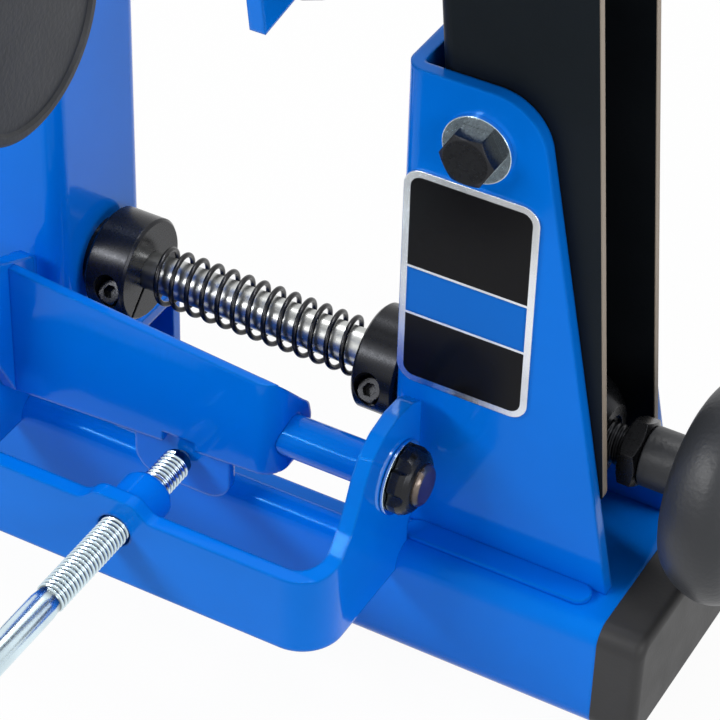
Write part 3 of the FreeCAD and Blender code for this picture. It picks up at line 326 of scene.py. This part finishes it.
def spread(nodes, links, source, low, high):
    remap = nodes.new("ShaderNodeMapRange")
    remap.inputs["To Min"].default_value = low
    remap.inputs["To Max"].default_value = high
    links.new(source, remap.inputs["Value"])
    return remap.outputs["Result"]


def calculated(nodes, links, operation, first, second):
    """A Math node on two values, each a socket or a number."""
    step = nodes.new("ShaderNodeMath")
    step.operation = operation
    for socket, value in zip(step.inputs, (first, second)):
        if isinstance(value, bpy.types.NodeSocket):
            links.new(value, socket)
        else:
            socket.default_value = value
    return step.outputs["Value"]


def vector_part(nodes, links, operation, source, value, result="Vector"):
    """A Vector Math node on a socket and a fixed vector."""
    step = nodes.new("ShaderNodeVectorMath")
    step.operation = operation
    links.new(source, step.inputs[0])
    if value is not None:
        step.inputs[1].default_value = value
    return step.outputs[result]


def mixed(nodes, links, factor, first, second, blend="MIX"):
    """A colour Mix node, whose values are sockets or fixed ones."""
    mix = nodes.new("ShaderNodeMix")
    mix.data_type = "RGBA"
    mix.blend_type = blend
    for name, value in (("Factor", factor), ("A", first), ("B", second)):
        if isinstance(value, bpy.types.NodeSocket):
            links.new(value, mix.inputs[name])
        else:
            mix.inputs[name].default_value = value
    return mix.outputs["Result"]


def clouded(nodes, links, place, base, scale, dark, light, low=0.3, high=0.7):
    """The base colour in faint clouds, from a darker to a lighter tone."""
    cloud = noise(nodes, links, place, scale)
    return ramp(nodes, links, cloud, ((low, shade(base, dark)), (high, shade(base, light))))


def bump(nodes, links, shader, height, strength, distance, softness):
    """Fine relief, over edges that look slightly rounded."""
    relief = nodes.new("ShaderNodeBump")
    soft = nodes.new("ShaderNodeBevel")
    soft.samples = EDGE_SAMPLES
    soft.inputs["Radius"].default_value = softness
    links.new(soft.outputs["Normal"], relief.inputs["Normal"])
    relief.inputs["Strength"].default_value = strength
    relief.inputs["Distance"].default_value = distance
    links.new(height, relief.inputs["Height"])
    links.new(relief.outputs["Normal"], shader.inputs["Normal"])


def glossy_paint(name, base):
    """Wet-looking enamel over steel, with a faint ripple."""
    material, nodes, links, shader, place = node_tree(name)
    links.new(clouded(nodes, links, place, base, 18, 0.93, 1.06), shader.inputs["Base Color"])
    shader.inputs["Specular IOR Level"].default_value = 0.3
    shader.inputs["Specular Tint"].default_value = (0.02, 0.42, 1, 1)
    shader.inputs["Coat Weight"].default_value = 0.05
    shader.inputs["Coat Roughness"].default_value = 0.03
    links.new(spread(nodes, links, noise(nodes, links, place, 60), 0.07, 0.12), shader.inputs["Roughness"])
    bump(nodes, links, shader, noise(nodes, links, place, 260, 2), 0.05, 0.0004, PAINT_EDGE)
    return material


def ended(material, limit, ends, metallic):
    """Another colour beyond a distance from the middle."""
    nodes = material.node_tree.nodes
    links = material.node_tree.links
    shader = nodes["Principled BSDF"]
    place = nodes.new("ShaderNodeTexCoord").outputs["Object"]
    parts = nodes.new("ShaderNodeSeparateXYZ")
    links.new(place, parts.inputs["Vector"])
    distance = calculated(nodes, links, "ABSOLUTE", parts.outputs["X"], 0)
    outside = calculated(nodes, links, "GREATER_THAN", distance, limit)
    coated = shader.inputs["Base Color"].links[0].from_socket
    worn = clouded(nodes, links, place, ends, 140, 0.7, 1.5, low=0.35)
    links.new(mixed(nodes, links, outside, coated, worn), shader.inputs["Base Color"])
    links.new(spread(nodes, links, outside, *metallic), shader.inputs["Metallic"])
    return material


def rod_finish(name, base, bare):
    """Paint between the ears and plain worn metal on the ends outside them."""
    return ended(glossy_paint(name, base), ROD_PAINT_END, bare, (0, 0.8))


def shaft_finish(name, base, black):
    """Bright steel between the collars and blackened threads outside them."""
    bright = metal(name, base, roughness=(0.26, 0.36), stretch=(1, 0.1, 0.1))
    return ended(bright, SHAFT_BRIGHT_END, black, (1, 0.85))


def grained_coat(name, base, grain=1500, roughness=(0.42, 0.58), strength=0.25, sheen=0.3):
    """Powder coat or moulded plastic, with a fine grain."""
    material, nodes, links, shader, place = node_tree(name)
    shader.inputs["Specular IOR Level"].default_value = sheen
    links.new(clouded(nodes, links, place, base, 30, 0.85, 1.2), shader.inputs["Base Color"])
    links.new(spread(nodes, links, noise(nodes, links, place, 90), *roughness), shader.inputs["Roughness"])
    bump(nodes, links, shader, noise(nodes, links, place, grain, 2), strength, 0.0002, METAL_EDGE)
    return material


def metal(name, base, roughness=(0.2, 0.34), stretch=None, metallic=1.0):
    """Machined, plated or blackened metal with fine marks along its lay."""
    material, nodes, links, shader, place = node_tree(name)
    tone = clouded(nodes, links, place, base, 45, 0.82, 1.1, low=0.25, high=0.62)
    links.new(tone, shader.inputs["Base Color"])
    shader.inputs["Metallic"].default_value = metallic
    marks = noise(nodes, links, place, 900, 2, stretch)
    links.new(spread(nodes, links, marks, *roughness), shader.inputs["Roughness"])
    bump(nodes, links, shader, marks, 0.08, 0.00015, METAL_EDGE)
    return material


def groove_shaded_metal(name, base, axis, centre, root, depth):
    """Plated metal with painted shade that darkens its thread towards the root."""
    material = metal(name, base, roughness=(0.14, 0.24))
    nodes = material.node_tree.nodes
    links = material.node_tree.links
    shader = nodes["Principled BSDF"]
    place = nodes.new("ShaderNodeTexCoord").outputs["Object"]
    offset = vector_part(nodes, links, "SUBTRACT", place, centre)
    radial = vector_part(nodes, links, "MULTIPLY", offset, Vector((1, 1, 1)) - AXES[axis])
    reach = vector_part(nodes, links, "LENGTH", radial, None, "Value")
    # painted shade: the plating's colour is multiplied darker from partway up the thread down to its root
    height = nodes.new("ShaderNodeMapRange")
    height.inputs["From Min"].default_value = root
    height.inputs["From Max"].default_value = root + depth * GROOVE_SHADE_REACH_SHARE
    height.inputs["To Min"].default_value = GROOVE_SHADE_TONE_SHARE
    links.new(reach, height.inputs["Value"])
    plated = shader.inputs["Base Color"].links[0].from_socket
    tone = mixed(nodes, links, 1, plated, height.outputs["Result"], "MULTIPLY")
    links.new(tone, shader.inputs["Base Color"])
    return material


def edged_coat(name, base, bare, side):
    """Powder coat that is bare on the channel's cut edges."""
    material, nodes, links, shader, place = node_tree(name)
    shader.inputs["Specular IOR Level"].default_value = 0.15
    shader.inputs["Specular Tint"].default_value = (0.55, 0.8, 1, 1)
    coat = clouded(nodes, links, place, base, 30, 0.85, 1.2)
    outward = Vector((math.cos(LEAN), 0, math.sin(LEAN)))
    reach = PIVOT.dot(outward) + COAT_REACH
    outward.x *= side
    across = vector_part(nodes, links, "DOT_PRODUCT", place, outward, "Value")
    edge = calculated(nodes, links, "GREATER_THAN", across, reach)
    links.new(mixed(nodes, links, edge, coat, (*bare, 1)), shader.inputs["Base Color"])
    links.new(spread(nodes, links, noise(nodes, links, place, 90), 0.38, 0.52), shader.inputs["Roughness"])
    bump(nodes, links, shader, noise(nodes, links, place, 1500, 2), 0.2, 0.0002, METAL_EDGE)
    return material


def kept_material(name, make, *values, **options):
    return bpy.data.materials.get(name) or make(name, *values, **options)


def palette():
    """Every finish of the stand by its record slot."""
    tones = bpy.context.scene.stand_colours
    blue = tuple(tones.blue)
    steel_lay = (1, 0.1, 0.1)
    foil_lay = (1, 1, 0.05)
    return {
        "blue_paint": kept_material("Blue enamel", glossy_paint, blue),
        "black_powder_coat": kept_material("Black powder coat", grained_coat, tuple(tones.black)),
        "cap_plastic": kept_material("Cap plastic", grained_coat, tuple(tones.caps), grain=900),
        "knob_plastic": kept_material("Knob plastic", grained_coat, tuple(tones.plastic), grain=620,
                                      roughness=(0.36, 0.5), strength=0.6, sheen=0.4),
        "black_oxide": kept_material("Black oxide", metal, tuple(tones.oxide),
                                     roughness=(0.22, 0.34), metallic=0.8),
        "bright_steel": kept_material("Machined steel", metal, tuple(tones.steel),
                                      roughness=(0.32, 0.46), stretch=steel_lay),
        "rod_finish": kept_material("Rod paint and bare ends", rod_finish, blue, tuple(tones.bronze)),
        "zinc_plate": kept_material("Zinc plate", metal, tuple(tones.zinc), roughness=(0.12, 0.22)),
        "spring_steel": kept_material("Spring wire", metal, tuple(tones.wire), roughness=(0.22, 0.35)),
        "plate_foil": kept_material("Plate foil", metal, tuple(tones.silver),
                                    roughness=(0.2, 0.3), stretch=foil_lay),
    }


def body_of_node(node):
    for body, nodes in frame["record"]["behaviour"]["bodies"].items():
        if node in nodes:
            return body
    raise RuntimeError("no body holds " + node)


# Operators

class TRUING_OT_finishes(bpy.types.Operator):
    """Give every node of the frame its finish"""
    bl_idname = "truing.finishes"
    bl_label = "Finishes"

    def execute(self, context):
        tones = context.scene.stand_colours
        finishes = palette()
        slots = {entry["node"]: entry["material_slot"] for entry in frame["record"]["subparts"]}
        for node, slot in slots.items():
            material = finishes[slot]
            if node in ("upright_left", "upright_right"):
                side = 1 if node.endswith("right") else -1
                material = kept_material(
                    "Coated channel " + node, edged_coat, tuple(tones.black), tuple(tones.bare_edge), side)
            target = frame["nodes"][node]
            if not target.material_slots:
                target.data.materials.append(material)
            for place in target.material_slots:
                place.material = material
        return {"FINISHED"}


class TRUING_OT_arm_screw(bpy.types.Operator):
    """Cut the arm screw's thread and turn its smooth shank"""
    bl_idname = "truing.arm_screw"
    bl_label = "Arm screw"

    def execute(self, context):
        sizes = context.scene.thread_sizes
        centre, low, high = middle("arm_screw")
        crest = (high.x - low.x) / 2
        root = crest - sizes.depth
        neck = sizes.shoulder
        thread_length = high.y - low.y - neck
        bm = bmesh.new()
        start = Vector((centre.x, low.y, centre.z))
        shank = crest * SHANK_SHARE
        end = high.y - low.y
        lathe(bm, [(0, 0, 0), (0, shank, SHANK_END_ROUND), (neck - SHANK_TAPER, shank, SHANK_SHOULDER_ROUND),
                   (neck, root, 0), (end, root, SCREW_TIP_ROUND), (end, 0, 0)], start, "Y", ROUND_STEPS)
        turns = int(thread_length / sizes.pitch - SCREW_TURNS_LEFT)
        thread(bm, start + AXES["Y"] * (neck + SCREW_RUNOUT), "Y", root, crest, turns, sizes)
        zinc = tuple(context.scene.stand_colours.zinc)
        # the thread's finish carries painted shade in its grooves
        finish = kept_material("Zinc thread", groove_shaded_metal, zinc, "Y", start, root, sizes.depth)
        piece = new_piece("arm_screw_thread", bm, "arm_screw", finish)
        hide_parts("arm_screw")
        return {"FINISHED"}


class TRUING_OT_cross_shaft(bpy.types.Operator):
    """Cut the cross shaft's right-hand and left-hand threads"""
    bl_idname = "truing.cross_shaft"
    bl_label = "Cross shaft"

    def execute(self, context):
        sizes = context.scene.thread_sizes
        centre, low, high = middle("cross_shaft")
        crest = (high.z - low.z) / 2
        root = crest - sizes.depth
        start = Vector((0, centre.y, centre.z))
        first = sizes.shaft_start
        bm = bmesh.new()
        lathe(bm, [(low.x, 0, 0), (low.x, root, SHAFT_END_ROUND), (-first - SHAFT_TAPER, root, 0),
                   (-first, crest, 0), (first, crest, 0), (first + SHAFT_TAPER, root, 0),
                   (high.x, root, 0), (high.x, 0, 0)], start, "X", ROUND_STEPS)
        for side, end in ((1, sizes.shaft_stop), (-1, -low.x)):
            turns = int((end - first) / sizes.pitch) - SHAFT_TURNS_LEFT
            spot = start + AXES["X"] * side * (first + SHAFT_RUNOUT)
            if side < 0:
                spot -= AXES["X"] * turns * sizes.pitch
            thread(bm, spot, "X", root, crest, turns, sizes, side)
        tones = context.scene.stand_colours
        finish = kept_material("Shaft steel", shaft_finish, tuple(tones.steel), tuple(tones.oxide))
        piece = new_piece("cross_shaft_thread", bm, "shaft", finish)
        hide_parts("cross_shaft")
        return {"FINISHED"}


def make_knob(node, axis, outward, neck_radius, neck_length, sizes):
    """Round knob with a full rim, a dished face and a neck at its back."""
    centre, low, high = middle(node)
    index = "XYZ".index(axis)
    span = high[index] - low[index]
    others = [i for i in range(3) if i != index]
    radius = (high[others[0]] - low[others[0]]) / 2
    start = centre.copy()
    start[index] = low[index] if outward > 0 else high[index]
    body = span - neck_length
    stations = [(0, 0, 0), (0, neck_radius, NECK_ROUND), (neck_length, neck_radius, 0)]
    stations += [(neck_length + body * min(1, depth), radius * min(1, reach), 0)
                 for depth, reach in smooth_line(KNOB_SHARES, KNOB_CUTS)]
    stations = [(place * outward, reach, rounding) for place, reach, rounding in stations]
    bm = bmesh.new()
    lathe(bm, stations, start, axis, sizes.steps)
    piece = new_piece(node + "_moulding", bm, body_of_node(node), palette()["knob_plastic"])
    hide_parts(node)
    return piece


class TRUING_OT_knobs(bpy.types.Operator):
    """Mould the round knobs of the shaft and the arm screw"""
    bl_idname = "truing.knobs"
    bl_label = "Knobs"

    def execute(self, context):
        sizes = context.scene.knob_sizes
        make_knob("shaft_knob", "X", 1, sizes.neck_radius, sizes.shaft_neck, sizes)
        make_knob("arm_screw_knob", "Y", -1, sizes.neck_radius, sizes.screw_neck, sizes)
        return {"FINISHED"}


class TRUING_OT_name_plate(bpy.types.Operator):
    """Print the bare panels of the name plate"""
    bl_idname = "truing.name_plate"
    bl_label = "Name plate"

    def execute(self, context):
        sizes = context.scene.plate_sizes
        tones = context.scene.stand_colours
        centre, low, high = middle("name_plate")
        height = high.z - low.z
        foot = low.z + height * sizes.stripe_low
        head = low.z + height * sizes.stripe_high
        black = kept_material("Printed black", grained_coat, tuple(tones.printed), grain=2600,
                              roughness=(0.16, 0.22), strength=0.05, sheen=0.12)
        blue = kept_material("Printed blue", glossy_paint, shade(tuple(tones.blue), 0.8))
        panels = (("name_plate_lower", low.z + sizes.border, foot - sizes.line, black),
                  ("name_plate_stripe", foot, head, blue),
                  ("name_plate_upper", head + sizes.line, high.z - sizes.border, black))
        wide = high.x - low.x - 2 * sizes.border
        for name, bottom, top, material in panels:
            place = (centre.x, low.y - sizes.proud / 2, (top + bottom) / 2)
            bm = bmesh.new()
            bmesh.ops.create_cube(bm, size=1)
            bmesh.ops.scale(bm, vec=(wide, sizes.proud, top - bottom), verts=bm.verts)
            bmesh.ops.translate(bm, vec=place, verts=bm.verts)
            outer = [edge for edge in bm.edges if self.outer_corner(edge, low.z, high.z, 2 * sizes.border)]
            if outer:
                soften(bm, outer, sizes.corner)
            new_piece(name, bm, "stand", material)
        return {"FINISHED"}

    def outer_corner(self, edge, bottom, top, margin):
        """Whether an edge stands square to the plate, near the plate's own foot or head."""
        first, second = (vert.co for vert in edge.verts)
        square = abs((first - second).normalized().y) > 0.9
        return square and (abs(first.z - bottom) < margin or abs(first.z - top) < margin)


class TRUING_OT_stage(bpy.types.Operator):
    """Set the floor, the lamps and the photograph's camera"""
    bl_idname = "truing.stage"
    bl_label = "Stage"

    def execute(self, context):
        settings = context.scene.stage_settings
        bm = bmesh.new()
        bmesh.ops.create_grid(bm, x_segments=1, y_segments=1, size=FLOOR_HALF)
        mesh = bpy.data.meshes.new("floor")
        bm.to_mesh(mesh)
        bm.free()
        floor = bpy.data.objects.new("floor", mesh)
        context.collection.objects.link(floor)
        mesh.materials.append(self.backdrop_material())
        for name, place, wide, deep in LAMPS:
            self.lamp(name + " lamp", getattr(settings, name), place, wide, deep)
        self.world(context, settings.ambient)
        self.camera(context)
        context.scene.view_settings.view_transform = "Standard"
        return {"FINISHED"}

    def backdrop_material(self):
        material = bpy.data.materials.new("Pale floor")
        material.use_nodes = True
        nodes = material.node_tree.nodes
        links = material.node_tree.links
        shader = nodes["Principled BSDF"]
        shader.inputs["Base Color"].default_value = FLOOR_TONE
        shader.inputs["Roughness"].default_value = 0.9
        glow = nodes.new("ShaderNodeEmission")
        glow.inputs["Color"].default_value = WHITE
        path = nodes.new("ShaderNodeLightPath").outputs
        seen = calculated(nodes, links, "MAXIMUM", path["Is Camera Ray"], path["Is Glossy Ray"])
        mix = nodes.new("ShaderNodeMixShader")
        links.new(calculated(nodes, links, "MULTIPLY", seen, FLOOR_GLOW_SHARE), mix.inputs["Fac"])
        links.new(shader.outputs["BSDF"], mix.inputs[1])
        links.new(glow.outputs["Emission"], mix.inputs[2])
        links.new(mix.outputs["Shader"], nodes["Material Output"].inputs["Surface"])
        return material

    def lamp(self, name, power, place, wide, deep):
        data = bpy.data.lights.new(name, "AREA")
        data.energy = power
        data.shape = "RECTANGLE"
        data.size = wide
        data.size_y = deep
        lamp = bpy.data.objects.new(name, data)
        lamp.location = place
        aim = LAMP_AIM - Vector(place)
        lamp.rotation_euler = aim.to_track_quat("-Z", "Y").to_euler()
        bpy.context.collection.objects.link(lamp)

    def world(self, context, ambient):
        world = bpy.data.worlds.new("Soft studio")
        context.scene.world = world
        world.use_nodes = True
        nodes = world.node_tree.nodes
        links = world.node_tree.links
        plain = nodes["Background"]
        plain.inputs["Color"].default_value = WHITE
        plain.inputs["Strength"].default_value = ambient
        white = nodes.new("ShaderNodeBackground")
        white.inputs["Color"].default_value = WHITE
        path = nodes.new("ShaderNodeLightPath").outputs
        seen = calculated(nodes, links, "MAXIMUM", path["Is Camera Ray"], path["Is Transmission Ray"])
        mix = nodes.new("ShaderNodeMixShader")
        links.new(calculated(nodes, links, "MAXIMUM", seen, path["Is Glossy Ray"]), mix.inputs["Fac"])
        links.new(plain.outputs["Background"], mix.inputs[1])
        links.new(white.outputs["Background"], mix.inputs[2])
        links.new(mix.outputs["Shader"], nodes["World Output"].inputs["Surface"])

    def camera(self, context):
        data = bpy.data.cameras.new("photo camera")
        data.sensor_width = SENSOR
        data.lens = SENSOR * FOCAL_PIXELS / PHOTO_SIZE
        data.clip_start = NEAR_CLIP
        data.clip_end = FAR_CLIP
        camera = bpy.data.objects.new("photo camera", data)
        turn, rise, roll = (math.radians(a) for a in (CAMERA_AZIMUTH, CAMERA_ELEVATION, CAMERA_ROLL))
        back = Vector((math.sin(turn) * math.cos(rise), -math.cos(turn) * math.cos(rise), math.sin(rise)))
        level = Vector((math.cos(turn), math.sin(turn), 0))
        steep = back.cross(level)
        right = level * math.cos(roll) + steep * math.sin(roll)
        up = steep * math.cos(roll) - level * math.sin(roll)
        turned = Matrix((right, up, back)).transposed().to_4x4()
        camera.matrix_world = Matrix.Translation(CAMERA_PLACE) @ turned
        context.collection.objects.link(camera)
        context.scene.camera = camera


OPERATORS = (
    TRUING_OT_finishes,
    TRUING_OT_arm_screw,
    TRUING_OT_cross_shaft,
    TRUING_OT_knobs,
    TRUING_OT_name_plate,
    TRUING_OT_stage,
)

GROUPS = {
    "stand_colours": StandColours,
    "thread_sizes": ThreadSizes,
    "knob_sizes": KnobSizes,
    "plate_sizes": PlateSizes,
    "stage_settings": StageSettings,
}


class VIEW3D_PT_truing_stand(bpy.types.Panel):
    """Sidebar panel that lists the stand's operators and sizes"""
    bl_label = "Truing Stand"
    bl_space_type = "VIEW_3D"
    bl_region_type = "UI"
    bl_category = "Truing Stand"

    def draw(self, context):
        for operator in OPERATORS:
            self.layout.operator(operator.bl_idname)
        for name in GROUPS:
            box = self.layout.box()
            group = getattr(context.scene, name)
            for key in group.bl_rna.properties.keys():
                if key not in ("rna_type", "name"):
                    box.prop(group, key)


def register():
    for group in GROUPS.values():
        bpy.utils.register_class(group)
    for operator in OPERATORS:
        bpy.utils.register_class(operator)
    bpy.utils.register_class(VIEW3D_PT_truing_stand)
    for name, group in GROUPS.items():
        setattr(bpy.types.Scene, name, PointerProperty(type=group))


def unregister():
    for name in GROUPS:
        delattr(bpy.types.Scene, name)
    bpy.utils.unregister_class(VIEW3D_PT_truing_stand)
    for kind in reversed(OPERATORS + tuple(GROUPS.values())):
        bpy.utils.unregister_class(kind)


def main():
    register()
    bpy.ops.truing.finishes()
    bpy.ops.truing.arm_screw()
    bpy.ops.truing.cross_shaft()
    bpy.ops.truing.knobs()
    bpy.ops.truing.name_plate()
    bpy.ops.truing.stage()


if __name__ == "__main__":
    main()
